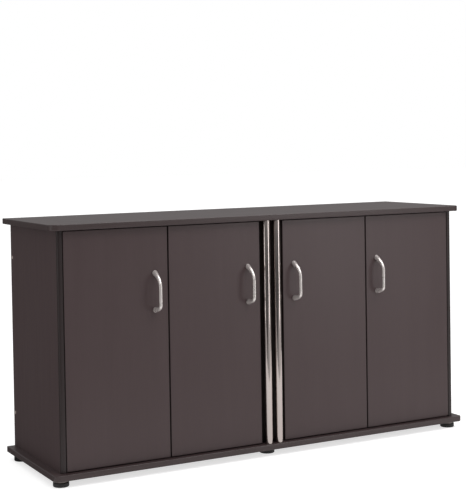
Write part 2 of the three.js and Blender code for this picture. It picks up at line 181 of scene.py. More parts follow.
def area_light(name, place, aim, size, power):
    data = bpy.data.lights.new(name, "AREA")
    data.shape = "RECTANGLE"
    data.size, data.size_y = size
    data.energy = power
    light = bpy.data.objects.new(name, data)
    turn = (Vector(aim) - Vector(place)).to_track_quat("-Z", "Y").to_matrix().to_4x4()
    light.matrix_world = Matrix.Translation(place) @ turn
    light.visible_diffuse = name not in REFLECTED_ONLY
    scene.collection.objects.link(light)


def set_range(node, from_min, from_max, to_min, to_max):
    """Fills in a Map Range node."""
    numbers = (from_min, from_max, to_min, to_max)
    for key, number in zip(("From Min", "From Max", "To Min", "To Max"), numbers):
        node.inputs[key].default_value = number


def make_world():
    """White where the camera looks past the floor; a soft room, darker low down, for everything else."""
    world = bpy.data.worlds.new("studio")
    scene.world = world
    world.use_nodes = True
    nodes, links = world.node_tree.nodes, world.node_tree.links
    background = nodes["Background"]
    direction = nodes.new("ShaderNodeTexCoord")
    axes = nodes.new("ShaderNodeSeparateXYZ")
    links.new(direction.outputs["Generated"], axes.inputs["Vector"])
    room = nodes.new("ShaderNodeMapRange")
    room.interpolation_type = "SMOOTHSTEP"
    set_range(room, ROOM_FROM, ROOM_TO, ROOM_LOW, ROOM_HIGH)
    links.new(axes.outputs["Z"], room.inputs["Value"])
    path = nodes.new("ShaderNodeLightPath")
    strength = nodes.new("ShaderNodeMix")
    links.new(path.outputs["Is Camera Ray"], strength.inputs["Factor"])
    links.new(room.outputs["Result"], strength.inputs["A"])
    strength.inputs["B"].default_value = 1.0
    links.new(strength.outputs["Result"], background.inputs["Strength"])
    background.inputs["Color"].default_value = (1, 1, 1, 1)


def add_floor(name, low, high, height, paint):
    bm = bmesh.new()
    corners = ((low[0], low[1]), (high[0], low[1]), (high[0], high[1]), (low[0], high[1]))
    bm.faces.new([bm.verts.new((x, y, height)) for x, y in corners])
    mesh = bpy.data.meshes.new(name)
    bm.to_mesh(mesh)
    bm.free()
    floor = bpy.data.objects.new(name, mesh)
    scene.collection.objects.link(floor)
    mesh.materials.append(paint)
    return floor


def make_studio():
    scene.view_settings.view_transform = "Standard"
    make_world()
    for light in LIGHTS:
        area_light(*light)
    floor = add_floor("floor", (-FLOOR_END, -FLOOR_END), (FLOOR_END, FLOOR_END), FLOOR_Z, FLOOR)
    floor.visible_glossy = False
    add_floor("floor_sheet", *FLOOR_SHEET, 0, FLOOR)
    for name, low, high in DISTANT_FLOORS:
        floor = add_floor(name, low, high, DISTANT_Z, DISTANT_FLOOR)
        floor.visible_camera = floor.visible_diffuse = floor.visible_shadow = False


# ---------- Materials ----------


def linear(red, green, blue):
    """A display colour, 0 to 255, as the linear colour that a shader takes."""
    def channel(value):
        value /= 255
        return value / 12.92 if value <= 0.04045 else ((value + 0.055) / 1.055) ** 2.4
    return (channel(red), channel(green), channel(blue), 1)


def grey(level):
    return (level, level, level, 1)


def dimmed(colour, share):
    return tuple(share * channel for channel in colour[:3]) + (1,)


class Shader:
    """A principled material and short ways to add nodes to it."""

    def __init__(self, name, **constants):
        self.material = bpy.data.materials.new(name)
        self.material.use_nodes = True
        self.tree = self.material.node_tree
        self.main = self.tree.nodes["Principled BSDF"]
        for socket, value in constants.items():
            self.main.inputs[socket.replace("_", " ")].default_value = value
        self.place = self.add("ShaderNodeTexCoord").outputs["Object"]

    def add(self, kind, **settings):
        node = self.tree.nodes.new(kind)
        for key, value in settings.items():
            setattr(node, key, value)
        return node

    def link(self, source, target):
        self.tree.links.new(source, target)

    def noise(self, scale, detail=4.0, roughness=0.55, offset=(0, 0, 0), distortion=0.0):
        """Noise whose features are 1/scale long on each axis, in metres."""
        mapping = self.add("ShaderNodeMapping")
        mapping.inputs["Scale"].default_value = scale
        mapping.inputs["Location"].default_value = offset
        self.link(self.place, mapping.inputs["Vector"])
        node = self.add("ShaderNodeTexNoise")
        node.inputs["Scale"].default_value = 1.0
        node.inputs["Detail"].default_value = detail
        node.inputs["Roughness"].default_value = roughness
        node.inputs["Distortion"].default_value = distortion
        self.link(mapping.outputs["Vector"], node.inputs["Vector"])
        return node.outputs["Fac"]

    def range(self, value, low, high, start=0.3, end=0.7):
        node = self.add("ShaderNodeMapRange")
        set_range(node, start, end, low, high)
        self.link(value, node.inputs["Value"])
        return node.outputs["Result"]

    def ramp(self, value, *stops):
        node = self.add("ShaderNodeValToRGB")
        elements = node.color_ramp.elements
        while len(elements) < len(stops):
            elements.new(0.5)
        for element, (position, colour) in zip(elements, stops):
            element.position = position
            element.color = colour
        self.link(value, node.inputs["Fac"])
        return node.outputs["Color"]

    def mix(self, share, first, second, blend="MIX"):
        node = self.add("ShaderNodeMix", data_type="RGBA", blend_type=blend)
        if isinstance(share, float):
            node.inputs["Factor"].default_value = share
        else:
            self.link(share, node.inputs["Factor"])
        self.link(first, node.inputs["A"])
        self.link(second, node.inputs["B"])
        return node.outputs["Result"]

    def bump(self, height, strength, distance, under=None):
        node = self.add("ShaderNodeBump")
        node.inputs["Strength"].default_value = strength
        node.inputs["Distance"].default_value = distance
        self.link(height, node.inputs["Height"])
        if under is not None:
            self.link(under, node.inputs["Normal"])
        return node.outputs["Normal"]

    def set(self, socket, output):
        self.link(output, self.main.inputs[socket])


def along(axis, length, across):
    """Noise scales for streaks: features of this length along one axis and this width across it."""
    scale = [1 / across] * 3
    scale["XYZ".index(axis)] = 1 / length
    return tuple(scale)


def laminate(name, axis, dark, light, seed):
    """Printed wood laminate: soft broad figure, fine grain streaks and shallow pores along one axis."""
    shader = Shader(name, Specular_IOR_Level=0.25)
    shift = (seed * 3.7, seed * 1.9, seed * 5.3)
    figure = shader.noise(along(axis, 0.60, 0.045), 3.0, 0.5, shift, 0.6)
    grain = shader.noise(along(axis, 0.16, 0.0035), 5.0, 0.6, shift)
    pores = shader.noise(along(axis, 0.022, 0.0007), 3.0, 0.7, shift)
    broad = shader.ramp(figure, (0.30, dark), (0.70, light))
    fine = shader.ramp(grain, (0.28, (0.955, 0.95, 0.95, 1)), (0.62, grey(1.015)))
    coloured = shader.mix(1.0, broad, fine, "MULTIPLY")
    speck = shader.ramp(pores, (0.30, (0.72, 0.70, 0.70, 1)), (0.40, grey(1)))
    shader.set("Base Color", shader.mix(0.7, coloured, shader.mix(1.0, coloured, speck, "MULTIPLY")))
    shader.set("Roughness", shader.range(grain, 0.34, 0.42))
    shader.set("Normal", shader.bump(pores, 0.20, 0.0002, shader.bump(grain, 0.05, 0.0003)))
    return shader.material


def fibreboard(name, dark, light):
    shader = Shader(name, Specular_IOR_Level=0.3)
    cloud = shader.noise((14, 14, 14), 4.0)
    fibre = shader.noise((700, 700, 700), 3.0, 0.7)
    shader.set("Base Color", shader.mix(
        shader.range(fibre, 0.0, 1.0), shader.ramp(cloud, (0.3, dark), (0.7, light)),
        shader.ramp(cloud, (0.3, light), (0.7, dark))))
    shader.set("Roughness", shader.range(fibre, 0.62, 0.85))
    shader.set("Normal", shader.bump(fibre, 0.3, 0.0003))
    return shader.material


def polished_metal(name, colour, low, high, metallic=1.0):
    """Bright metal with faint upright polishing lines and a soft, uneven sheen."""
    shader = Shader(name, Metallic=metallic)
    haze = shader.noise((9, 9, 9), 3.0)
    lines = shader.noise(along("Z", 0.25, 0.0006), 4.0, 0.6)
    shader.set("Base Color", shader.ramp(haze, (0.3, dimmed(colour, 0.96)), (0.7, colour)))
    shader.set("Roughness", shader.range(haze, low, high))
    shader.set("Normal", shader.bump(lines, 0.03, 0.0001))
    return shader.material


def plated_steel(name, colour, low, high):
    shader = Shader(name, Metallic=1.0)
    cloud = shader.noise((160, 160, 160), 4.0)
    scuff = shader.noise((1500, 1500, 1500), 2.0)
    shader.set("Base Color", shader.ramp(cloud, (0.3, dimmed(colour, 0.86)), (0.7, colour)))
    shader.set("Roughness", shader.range(cloud, low, high))
    shader.set("Normal", shader.bump(scuff, 0.08, 0.0001))
    return shader.material


def moulded_plastic(name, colour, low, high):
    shader = Shader(name, Specular_IOR_Level=0.35)
    cloud = shader.noise((60, 60, 60), 3.0)
    texture = shader.noise((2200, 2200, 2200), 2.0)
    shader.set("Base Color", shader.ramp(cloud, (0.3, dimmed(colour, 0.8)), (0.7, colour)))
    shader.set("Roughness", shader.range(texture, low, high))
    shader.set("Normal", shader.bump(texture, 0.25, 0.0002))
    return shader.material


def floor_paint(name, tone, glow):
    shader = Shader(name, Specular_IOR_Level=0.1, Emission_Color=(1, 1, 1, 1), Emission_Strength=glow)
    cloud = shader.noise((1.5, 1.5, 1.5), 3.0)
    shader.set("Base Color", shader.ramp(cloud, (0.3, grey(tone - 0.02)), (0.7, grey(tone))))
    shader.set("Roughness", shader.range(cloud, 0.85, 0.95))
    return shader.material


LAMINATE_DARK, LAMINATE_LIGHT = linear(59, 47, 47.5), linear(61, 49, 49.5)
MATERIALS = {
    "board": laminate("board_laminate", "X", LAMINATE_DARK, LAMINATE_LIGHT, 1),
    "board_band": laminate("board_band", "X", linear(53, 44, 44), linear(57, 47, 47), 2),
    "upright": laminate("upright_laminate", "Z", LAMINATE_DARK, LAMINATE_LIGHT, 3),
    # The door edge band is darker than the faces: painted shade, so the gaps between the doors read dark.
    "band": laminate("band_laminate_painted_shade", "Z", linear(38, 30, 30), linear(42, 33, 33), 4),
    # The stile's laminate is near-black: painted shade for the gaps behind and beside the columns.
    "stile": laminate("stile_laminate_painted_shade", "Z", linear(31, 25, 23), linear(38, 31, 29), 5),
    "back": fibreboard("painted_fibreboard", linear(62, 54, 51), linear(74, 65, 62)),
    "chrome": polished_metal("column_metal", linear(174, 164, 160), 0.10, 0.20),
    "handle": polished_metal("handle_metal", linear(200, 193, 190), 0.23, 0.31, metallic=0.6),
    "nickel": plated_steel("nickel_plate", linear(200, 197, 190), 0.22, 0.36),
    "zinc": plated_steel("zinc_screw", linear(178, 178, 176), 0.30, 0.45),
    "foot": moulded_plastic("foot_plastic", linear(16, 14, 14), 0.45, 0.6),
    "collar": moulded_plastic("foot_collar", linear(120, 110, 106), 0.3, 0.5),
    "bumper": moulded_plastic("door_bumper", linear(196, 192, 184), 0.4, 0.6),
    # The nosing's laminate is darker than the panel's: painted shade along the rounded front edge.
    "nosing": laminate("nosing_laminate_painted_shade", "Z", linear(35, 28, 28), linear(38, 30, 30), 6),
    "cap": moulded_plastic("cover_cap", linear(150, 138, 132), 0.4, 0.6),
}
FLOOR = floor_paint("pale_floor", 0.60, 0.66)
DISTANT_FLOOR = floor_paint("distant_floor", 0.15, 0.50)
for door in DOORS:
    MATERIALS[f"door_{door}"] = laminate(
        f"door_{door}_laminate", "Z", LAMINATE_DARK, LAMINATE_LIGHT, 10 + door)

# ---------- Mesh helpers ----------

PLANES = {"XY": (0, 1, 2), "XZ": (0, 2, 1), "YZ": (1, 2, 0)}


def object_from(name, bm):
    bmesh.ops.recalc_face_normals(bm, faces=bm.faces)
    mesh = bpy.data.meshes.new(name)
    bm.to_mesh(mesh)
    bm.free()
    made = bpy.data.objects.new(name, mesh)
    scene.collection.objects.link(made)
    return made


def combine(piece, bm, operation):
    """Joins a shape to a piece, or cuts it out of the piece."""
    tool = object_from("tool", bm)
    modifier = piece.modifiers.new("combine", "BOOLEAN")
    modifier.operation = operation
    modifier.solver = "EXACT"
    modifier.object = tool
    evaluated = piece.evaluated_get(bpy.context.evaluated_depsgraph_get())
    result = bpy.data.meshes.new_from_object(evaluated)
    piece.modifiers.clear()
    piece.data = result
    bpy.data.objects.remove(tool)


def finish_piece(name, bm, finish, body, *nodes, angle=32, joined=(), cutters=()):
    """Turns a bmesh into a piece that rides on a body and may stand for CAD nodes."""
    piece = object_from(name, bm)
    for shape in joined:
        combine(piece, shape, "UNION")
    for shape in cutters:
        combine(piece, shape, "DIFFERENCE")
    mesh = piece.data
    mesh.name = name
    mesh.materials.clear()
    mesh.materials.append(MATERIALS[finish])
    for polygon in mesh.polygons:
        polygon.use_smooth = True
    mesh.set_sharp_from_angle(angle=math.radians(angle))
    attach(piece, body)
    if nodes:
        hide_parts(*nodes)


def offset(outline, distance):
    """The closed outline moved inwards by distance, with mitred corners. It runs anticlockwise."""
    moved = []
    count = len(outline)
    for i, point in enumerate(outline):
        before = (point - outline[i - 1]).normalized()
        after = (outline[(i + 1) % count] - point).normalized()
        normal = Vector((-before.y - after.y, before.x + after.x)).normalized()
        reach = distance / max(0.2, normal.dot(Vector((-after.y, after.x))))
        moved.append(point + normal * reach)
    return moved


def rounded_outline(low, high, radii, steps=8):
    """An anticlockwise rectangle with a radius at each corner: low-left, low-right, up-right, up-left."""
    corners = ((low[0], low[1], 180), (high[0], low[1], 270), (high[0], high[1], 0), (low[0], high[1], 90))
    outline = []
    for (x, y, start), radius in zip(corners, radii):
        centre = Vector((x - math.copysign(radius, x - (low[0] + high[0]) / 2),
                         y - math.copysign(radius, y - (low[1] + high[1]) / 2)))
        for step in range(steps + 1):
            angle = math.radians(start + 90 * step / steps)
            outline.append(centre + radius * Vector((math.cos(angle), math.sin(angle))))
    return outline


def anticlockwise(outline):
    area = sum(a.cross(b) for a, b in zip(outline, outline[1:] + outline[:1]))
    return outline if area > 0 else outline[::-1]


def join_rings(bm, lower, upper):
    count = len(lower)
    for i in range(count):
        j = (i + 1) % count
        bm.faces.new((lower[i], lower[j], upper[j], upper[i]))


def add_rings(bm, outline, profile, plane, capped=True):
    """Adds a solid whose rim follows the outline; profile lists (inset, height) from low to high."""
    first, second, third = PLANES[plane]
    rings = []
    for inset, height in profile:
        ring = []
        for point in offset(outline, inset):
            place = [0.0, 0.0, 0.0]
            place[first], place[second], place[third] = point.x, point.y, height
            ring.append(bm.verts.new(place))
        rings.append(ring)
    pairs = list(zip(rings, rings[1:]))
    if not capped:
        pairs.append((rings[-1], rings[0]))
    for lower, upper in pairs:
        join_rings(bm, lower, upper)
    if capped:
        bm.faces.new(rings[0][::-1])
        bm.faces.new(rings[-1])


def rim_profile(low, high, radius, steps=3):
    """(inset, height) pairs of a slab's side with both rims rounded."""
    profile = []
    for step in range(steps + 1):
        angle = math.pi / 2 * step / steps
        profile.append((radius * (1 - math.sin(angle)), low + radius * (1 - math.cos(angle))))
    return profile + [(inset, high - (height - low)) for inset, height in reversed(profile)]


def slab(outline, low, high, plane="XY", edge=UPRIGHT_EDGE, bm=None, steps=3):
    """A flat solid between two heights, with its rims rounded."""
    bm = bm or bmesh.new()
    add_rings(bm, anticlockwise(outline), rim_profile(low, high, edge, steps), plane)
    return bm


def band_depth(edge):
    return max(BAND, edge + SEAM)


def band(outline, low, high, plane, edge):
    """An edge band: a closed strip around the outline, rounded on the outside."""
    bm = bmesh.new()
    inner = band_depth(edge)
    profile = rim_profile(low, high, edge) + [(inner, high), (inner, low)]
    add_rings(bm, anticlockwise(outline), profile, plane, capped=False)
    return bm


def banded_board(name, outline, low, high, plane, edge, faces, rim, body, cutters=()):
    """A board in two pieces: the laminated slab, and the band around its edge."""
    core = offset(anticlockwise(outline), band_depth(edge) + SEAM)
    finish_piece(f"{name}_board", slab(core, low, high, plane, SEAM, steps=1), faces, body, name,
                 cutters=cutters)
    finish_piece(f"{name}_band", band(outline, low, high, plane, edge), rim, body)


def add_lathe(bm, profile, origin, axis, steps=40):
    """Adds a turned solid. Profile lists (radius, distance along axis); it starts and ends at radius 0,
    or closes on itself when both ends have a radius."""
    axis = Vector(axis).normalized()
    side = axis.orthogonal().normalized()
    other = axis.cross(side)
    rings = []
    for radius, distance in profile:
        centre = Vector(origin) + axis * distance
        if radius == 0:
            rings.append([bm.verts.new(centre)])
            continue
        rings.append([
            bm.verts.new(centre + radius * (math.cos(a) * side + math.sin(a) * other))
            for a in (2 * math.pi * i / steps for i in range(steps))])
    pairs = list(zip(rings, rings[1:]))
    if profile[0][0] > 0:
        pairs.append((rings[-1], rings[0]))
    for lower, upper in pairs:
        for i in range(steps):
            j = (i + 1) % steps
            if len(lower) == 1:
                bm.faces.new((lower[0], upper[j], upper[i]))
            elif len(upper) == 1:
                bm.faces.new((lower[i], lower[j], upper[0]))
            else:
                bm.faces.new((lower[i], lower[j], upper[j], upper[i]))


def add_loft(bm, rings, across, steps=40):
    """Adds a solid through round rings, each given as its middle, its direction and its radius."""
    made = []
    for middle, along, radius in rings:
        up = along.cross(across).normalized()
        made.append([
            bm.verts.new(middle + radius * (math.cos(a) * across + math.sin(a) * up))
            for a in (2 * math.pi * i / steps for i in range(steps))])
    for lower, upper in zip(made, made[1:]):
        join_rings(bm, lower, upper)
    bm.faces.new(made[0][::-1])
    bm.faces.new(made[-1])


def bridge(bm, outer, inner):
    """Fills the face between an outer ring and the ring of a recess in it."""
    edges = [bm.edges.get(ends) for ring in (outer, inner) for ends in zip(ring, ring[1:] + ring[:1])]
    bmesh.ops.bridge_loops(bm, edges=edges)


def cross_outline(radius):
    """The twelve corners of a cross recess."""
    slot, reach = CROSS_SLOT * radius, CROSS_REACH * radius
    return [(reach, -slot), (reach, slot), (slot, slot), (slot, reach), (-slot, reach), (-slot, slot),
            (-reach, slot), (-reach, -slot), (-slot, -slot), (-slot, -reach), (slot, -reach), (slot, -slot)]


def add_screw_head(bm, place, axis, radius, sides, recess):
    """Adds a screw head through the rings (radius, lift) in sides, with a cross recess in its top."""
    axis = Vector(axis).normalized()
    side = axis.orthogonal().normalized()
    other = axis.cross(side)

    def ring(points, lift):
        return [bm.verts.new(Vector(place) + axis * lift + x * side + y * other) for x, y in points]

    angles = [2 * math.pi * (i + 0.5) / SCREW_STEPS for i in range(SCREW_STEPS)]
    rings = [ring([(size * math.cos(a), size * math.sin(a)) for a in angles], lift) for size, lift in sides]
    cross = cross_outline(radius)
    top = ring(cross, recess[0])
    floor = ring([(CROSS_FLOOR * x, CROSS_FLOOR * y) for x, y in cross], recess[1])
    for lower, upper in zip(rings, rings[1:]):
        join_rings(bm, lower, upper)
    join_rings(bm, top, floor)
    bm.faces.new(rings[0][::-1])
    bm.faces.new(floor)
    bridge(bm, rings[-1], top)


def add_screw(bm, place, axis, radius, height):
    """Adds a pan screw head with a cross recess, standing out along axis."""
    sides = [(radius * share, height * lift) for share, lift in PAN_HEAD]
    add_screw_head(bm, place, axis, radius, sides, (height, 0.35 * height))


def add_flush_screw(bm, place, axis, radius, height):
    """Adds a countersunk screw head with a cross recess, its flat top facing along axis."""
    sides = [(0.4 * radius, -height), (radius, -0.1 * MM), (0.97 * radius, 0)]
    add_screw_head(bm, place, axis, radius, sides, (0, -0.5 * height))


# ---------- Boards ----------


def pin_row_cutter(face_x, into, ys, middle):
    """Rows of shelf pin holes bored into an upright from its face."""
    bm = bmesh.new()
    for y in ys:
        for step in PIN_ROW_STEPS:
            origin = (face_x - into * MM, y, middle + step * PIN_ROW_PITCH)
            depth = PIN_DEPTH + FIT + MM
            add_lathe(bm, [(0, 0), (PIN_RADIUS + FIT, 0), (PIN_RADIUS + FIT, depth), (0, depth)],
                      origin, (into, 0, 0), 16)
    return bm


def pin_rows(side_name, wall):
    """The hole rows that belong to the pins of one shelf on one of its two uprights."""
    boxes = [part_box(f"shelf_pin_{side_name}_{wall}_{place}") for place in ("front", "rear")]
    ys = [(low.y + high.y) / 2 for low, high in boxes]
    middle = (boxes[0][0].z + boxes[0][1].z) / 2
    outwards = -1 if side_name == "left" else 1
    into = outwards if wall == "outer" else -outwards
    low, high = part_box(f"side_panel_{side_name}" if wall == "outer" else f"partition_{side_name}")
    face_x = low.x if into > 0 else high.x
    return pin_row_cutter(face_x, into, ys, middle)


def build_board(name, front_radius):
    low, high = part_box(name)
    radii = (front_radius, front_radius, REAR_CORNER, REAR_CORNER)
    outline = rounded_outline((low.x, low.y), (high.x, high.y), radii, steps=12)
    banded_board(name, outline, low.z, high.z, "XY", BOARD_EDGE, "board", "board_band", "carcass")


def build_side_panel(side_name):
    """A flat panel and the rounded nosing along its front edge."""
    name = f"side_panel_{side_name}"
    low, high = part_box(name)
    side = side_of(name)
    inner, outer = (low.x, high.x) if side > 0 else (high.x, low.x)
    joint_y = low.y + SIDE_ROUND
    groove = outer - side * SEAM
    panel = [Vector(point) for point in (
        (inner, high.y), (inner, joint_y), (groove, joint_y), (outer, joint_y + SEAM), (outer, high.y))]
    finish_piece(f"{name}_board", slab(panel, low.z, high.z, edge=SEAM, steps=1), "upright", "carcass", name,
                 cutters=[pin_rows(side_name, "outer")])
    nosing = [Vector(point) for point in (
        (groove, joint_y), (inner, joint_y),
        (inner, low.y + NOSING_EASE), (inner + side * NOSING_EASE, low.y))]
    for step in range(NOSING_STEPS):
        angle = math.radians(90 - 90 * step / NOSING_STEPS)
        nosing.append(Vector((outer - side * SIDE_ROUND * (1 - math.cos(angle)),
                              low.y + SIDE_ROUND * (1 - math.sin(angle)))))
    nosing.append(Vector((outer, joint_y - SEAM)))
    # The nosing's finish carries painted shade: a darker laminate along the rounded edge.
    finish_piece(f"{name}_nosing", slab(nosing, low.z, high.z, edge=SEAM, steps=1), "nosing", "carcass")


def build_plain_board(name, plane, finish, edge=UPRIGHT_EDGE, cutters=()):
    low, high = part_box(name)
    first, second, third = PLANES[plane]
    outline = rounded_outline(
        (low[first], low[second]), (high[first], high[second]), (1.6 * edge,) * 4, steps=3)
    finish_piece(f"{name}_board", slab(outline, low[third], high[third], plane, edge),
                 finish, "carcass", name, cutters=cutters)


def build_shelf(side_name):
    """A shelf with an edge band along its front."""
    name = f"shelf_{side_name}"
    low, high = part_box(name)
    outline = rounded_outline((low.x, low.y + BAND + SEAM), (high.x, high.y), (MM,) * 4, steps=3)
    finish_piece(f"{name}_board", slab(outline, low.z, high.z, edge=SEAM, steps=1), "board", "carcass", name)
    strip = rounded_outline((low.x, low.z), (high.x, high.z), (MM,) * 4, steps=3)
    finish_piece(f"{name}_band", slab(strip, low.y, low.y + BAND, "XZ", 0.4 * MM), "board_band", "carcass")


def slot_outline(centre, half_length, half_height, turned=False, steps=16):
    """A slot with round ends, along the first axis or turned along the second."""
    straight = half_length - half_height
    points = []
    for end, start in ((1, -90), (-1, 90)):
        for step in range(steps + 1):
            angle = math.radians(start + 180 * step / steps)
            x = end * straight + half_height * math.cos(angle)
            y = half_height * math.sin(angle)
            points.append(Vector(centre) + (Vector((-y, x)) if turned else Vector((x, y))))
    return points


def build_back_panel(side_name):
    """A thin board with two hose outlets, screwed flush to the uprights in front of it."""
    name = f"back_panel_{side_name}"
    low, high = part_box(name)
    side = side_of(name)
    partition_low, partition_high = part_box(f"partition_{side_name}")
    centre_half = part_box("centre_partition")[1].x
    partition_inner, partition_outer = sorted((abs(partition_low.x), abs(partition_high.x)))
    side_low, side_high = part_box(f"side_panel_{side_name}")
    side_inner = min(abs(side_low.x), abs(side_high.x))
    cutters = bmesh.new()
    for x in ((centre_half + partition_inner) / 2, (partition_outer + side_inner) / 2):
        outline = slot_outline((side * x, OUTLET_Z), OUTLET_LENGTH / 2, OUTLET_HEIGHT / 2)
        slab(outline, low.y - MM, high.y + MM, "XZ", 0.01 * MM, cutters)
    screws = bmesh.new()
    columns = (centre_half / 2 + FIT / 2, (partition_inner + partition_outer) / 2)
    for x in columns:
        for share in BACK_SCREW_SHARES:
            z = low.z + share * (high.z - low.z)
            head = (side * x, high.y - BACK_SCREW_SINK, z)
            bore = [(0, 0), (BACK_BORE_TIP, 0), (BACK_BORE_RADIUS, BACK_BORE_DEPTH),
                    (BACK_BORE_RADIUS, 5 * MM), (0, 5 * MM)]
            add_lathe(cutters, bore, (side * x, high.y - BACK_BORE_DEPTH, z), (0, 1, 0), 24)
            add_flush_screw(screws, head, (0, 1, 0), BACK_SCREW_RADIUS, BACK_SCREW_HEIGHT)
    outline = rounded_outline((low.x, low.z), (high.x, high.z), (0.8 * MM,) * 4, steps=2)
    finish_piece(f"{name}_board", slab(outline, low.y, high.y, "XZ", 0.3 * MM), "back", "carcass", name,
                 cutters=[cutters])
    finish_piece(f"{name}_screws", screws, "zinc", "carcass")


def build_cover_caps(side_name):
    """Two domed caps over the fixing screws near the rear edge of a side panel."""
    name = f"side_panel_{side_name}"
    low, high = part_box(name)
    side = side_of(name)
    outer = high.x if side > 0 else low.x
    profile = [(0, -0.1 * MM), (CAP_RADIUS, -0.1 * MM), (CAP_RADIUS, 0.5 * MM), (0.93 * CAP_RADIUS, 0.9 * MM),
               (0.75 * CAP_RADIUS, 1.2 * MM), (0.4 * CAP_RADIUS, 1.4 * MM), (0, 1.45 * MM)]
    for level, z in (("lower", low.z + CAP_FROM_END), ("upper", high.z - CAP_FROM_END)):
        bm = bmesh.new()
        add_lathe(bm, profile, (outer, high.y - CAP_INSET, z), (side, 0, 0), 32)
        finish_piece(f"cover_cap_{side_name}_{level}", bm, "cap", "carcass")


def build_carcass():
    build_board("top_board", TOP_CORNER)
    build_board("base_board", BASE_CORNER)
    for side_name in SIDES:
        build_side_panel(side_name)
        build_cover_caps(side_name)
        build_plain_board(f"partition_{side_name}", "YZ", "upright", cutters=[pin_rows(side_name, "inner")])
        build_shelf(side_name)
        build_back_panel(side_name)
    build_plain_board("centre_partition", "YZ", "upright")
    build_plain_board("centre_stile", "XZ", "stile")


# ---------- Columns, shelf pins and feet ----------


def build_column(side_name):
    """An open metal tube with its two rims rounded."""
    name = f"column_{side_name}"
    low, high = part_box(name)
    radius = (high.y - low.y) / 2
    inner = radius - COLUMN_WALL
    length = high.z - low.z
    rim = COLUMN_WALL / 2
    profile = []
    for end, start in ((0, 180), (length, 0)):
        for step in range(COLUMN_RIM_STEPS + 1):
            angle = math.radians(start + 180 * step / COLUMN_RIM_STEPS)
            profile.append((inner + rim + rim * math.cos(angle),
                            end + (rim if end == 0 else -rim) + rim * math.sin(angle)))
    bm = bmesh.new()
    centre = (low + high) / 2
    add_lathe(bm, profile, (centre.x, centre.y, low.z), (0, 0, 1), 96)
    finish_piece(f"{name}_tube", bm, "chrome", "carcass", name, angle=50)


def build_shelf_pin(name):
    """A steel pin: shank in the upright, collar on its face, head under the shelf."""
    low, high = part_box(name)
    outer = name.split("_")[3] == "outer"
    into = side_of(name) * (1 if outer else -1)
    tip = high.x if into > 0 else low.x
    length = high.x - low.x
    shank, head = PIN_DEPTH, PIN_HEAD
    groove = head - PIN_GROOVE
    profile = [(0, 0), (0.8 * PIN_RADIUS, 0), (PIN_RADIUS, 0.5 * MM), (PIN_RADIUS, shank + FIT),
               (head, shank + FIT), (head, shank + 1.6 * MM), (groove, shank + 1.9 * MM),
               (groove, shank + 2.2 * MM), (head, shank + 2.6 * MM), (head, length - MM),
               (head - 0.3 * MM, length - 0.3 * MM), (head - MM, length), (0, length)]
    bm = bmesh.new()
    add_lathe(bm, profile, (tip, (low.y + high.y) / 2, (low.z + high.z) / 2), (-into, 0, 0), 32)
    finish_piece(f"{name}_turned", bm, "nickel", "carcass", name, angle=40)


def quarter(radius, height, start, steps=5):
    """Profile points of a quarter round of radius FOOT_ROUND, about a centre and from an angle in degrees."""
    angles = [math.radians(start + 90 * step / steps) for step in range(steps + 1)]
    return [(radius + FOOT_ROUND * math.cos(a), height + FOOT_ROUND * math.sin(a)) for a in angles]


def build_foot(name):
    """A round foot: a collar under the base board and a wider black pad on the floor."""
    low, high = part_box(name)
    radius = (high.x - low.x) / 2
    collar = radius - FOOT_STEP
    centre = (low + high) / 2
    split = low.z + FOOT_SPLIT
    rim = radius - FOOT_ROUND
    pad = [(0, 0), (rim - MM, 0), *quarter(rim, FOOT_ROUND, -90), *quarter(rim, split - FOOT_ROUND, 0),
           (collar - FOOT_ROUND, split), (0, split)]
    upper = [(0, split), (collar - 0.6 * MM, split), (collar, split + 0.6 * MM),
             (collar, high.z - MM), (collar + 0.8 * MM, high.z - 0.4 * MM), (collar + 0.8 * MM, high.z),
             (0, high.z)]
    for part, profile, finish in (("pad", pad, "foot"), ("collar", upper, "collar")):
        bm = bmesh.new()
        add_lathe(bm, profile, (centre.x, centre.y, 0), (0, 0, 1), 64)
        nodes = (name,) if part == "pad" else ()
        finish_piece(f"{name}_{part}", bm, finish, "carcass", *nodes, angle=40)


# ---------- Doors and handles ----------


def build_door(number):
    """A door leaf with cup bores and, on its inner face, two soft bumpers near the free edge."""
    name = f"door_{number}"
    low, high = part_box(name)
    outline = rounded_outline((low.x, low.z), (high.x, high.z), (DOOR_CORNER,) * 4, steps=4)
    bores = bmesh.new()
    for level in LEVELS:
        cup_low, cup_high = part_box(f"hinge_cup_{number}_{level}")
        centre = (cup_low + cup_high) / 2
        add_lathe(bores, [(0, 0), (CUP_BORE, 0), (CUP_BORE, 20 * MM), (0, 20 * MM)],
                  (centre.x, high.y - CUP_DEPTH, centre.z), (0, 1, 0), 64)
    banded_board(name, outline, low.y, high.y, "XZ", DOOR_EDGE, f"door_{number}", "band",
                 f"door_{number}_leaf", [bores])
    into = hinge_axis(number)[1]
    free_x = high.x if into > 0 else low.x
    profile = [(0, 0), (BUMPER_RADIUS, 0), (BUMPER_RADIUS, 0.7 * MM), (0.8 * BUMPER_RADIUS, 1.2 * MM),
               (0.4 * BUMPER_RADIUS, 1.45 * MM), (0, 1.5 * MM)]
    bm = bmesh.new()
    for z in (low.z + BUMPER_INSET, high.z - BUMPER_INSET):
        add_lathe(bm, profile, (free_x - into * BUMPER_RADIUS * 1.15, high.y, z), (0, 1, 0), 24)
    finish_piece(f"{name}_bumpers", bm, "bumper", f"door_{number}_leaf")


def bezier(points, t):
    """A point of a cubic curve and its direction there."""
    start, first, second, end = points
    u = 1 - t
    place = u ** 3 * start + 3 * u * u * t * first + 3 * u * t * t * second + t ** 3 * end
    way = u * u * (first - start) + 2 * u * t * (second - first) + t * t * (end - second)
    return place, way.normalized()


